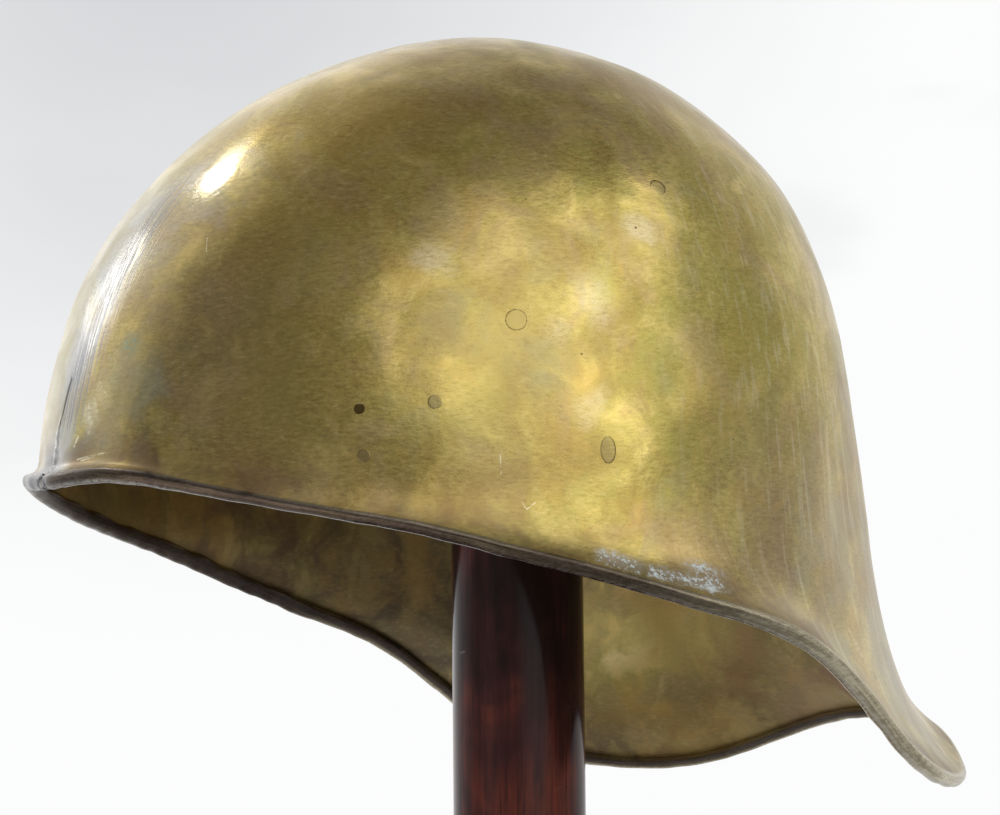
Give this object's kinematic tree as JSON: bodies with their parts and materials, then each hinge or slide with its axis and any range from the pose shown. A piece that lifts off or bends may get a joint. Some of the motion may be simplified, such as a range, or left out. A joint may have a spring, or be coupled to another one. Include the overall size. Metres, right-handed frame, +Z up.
{
  "type": "sallet helmet on a plain wooden post stand",
  "caption": "Open-faced brass sallet with a low brow, a flared neck and a rolled rim, resting on a plain round wooden post stand.",
  "frame": {"origin": "centre of the stand's underside, on the axis of its post", "axes": "+Z up, the brow of the helmet faces -Y, the helmet's left side is +X"},
  "size_m": [0.2584, 0.2884, 0.331],
  "materials": {
    "brass": "old worn polish with brown and olive patina",
    "rivet_brass": "dull, hammered flush",
    "mahogany": "dark varnished mahogany"
  },
  "bodies": {
    "root": {"skull": "brass", "plug_brow": "rivet_brass", "plug_temple": "rivet_brass", "plug_side": "rivet_brass", "plug_ear": "rivet_brass", "plug_back": "rivet_brass", "plug_crown": "rivet_brass", "stand_post": "mahogany", "stand_base": "mahogany"}
  },
  "joints": []
}
